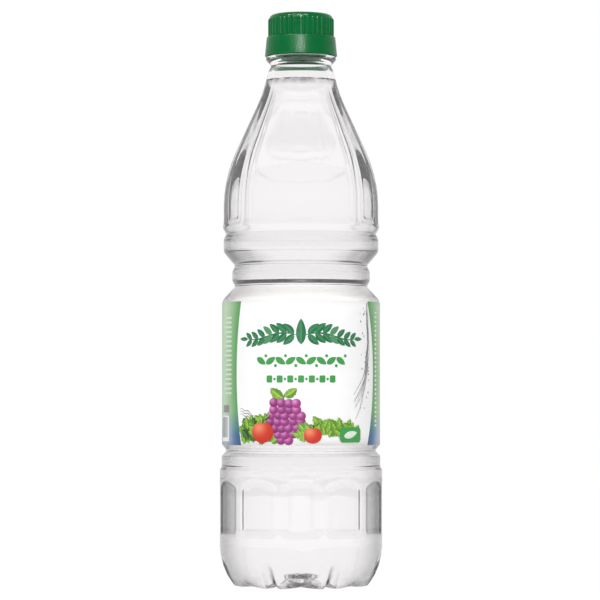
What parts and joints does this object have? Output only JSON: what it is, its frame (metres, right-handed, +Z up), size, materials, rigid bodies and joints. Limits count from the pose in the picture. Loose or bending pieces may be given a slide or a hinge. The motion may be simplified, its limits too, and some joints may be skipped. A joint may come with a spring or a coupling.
{
  "type": "vinegar bottle",
  "caption": "Tall clear plastic bottle of white vinegar with a fluted shoulder, ringed waist, wrap label, panelled grip, footed base and ribbed green screw cap.",
  "frame": {"origin": "centre of the base, on the surface that the feet stand on", "axes": "+Z up along the bottle's axis; the front of the label faces -Y; +X is to the right of someone who looks at the front"},
  "size_m": [0.08, 0.08, 0.282],
  "materials": {
    "clear_plastic": "clear blown PET, glossy, with pressed flutes and panels",
    "vinegar": "clear, nearly colourless liquid",
    "label_film": "printed film: white front field, green sides grading to blue, soft gloss",
    "cap_plastic": "moulded green plastic, ribbed and satin crown over a finely grained band"
  },
  "bodies": {
    "root": {"bottle": "clear_plastic", "vinegar": "vinegar", "label": "label_film", "cap": "cap_plastic"}
  },
  "joints": []
}
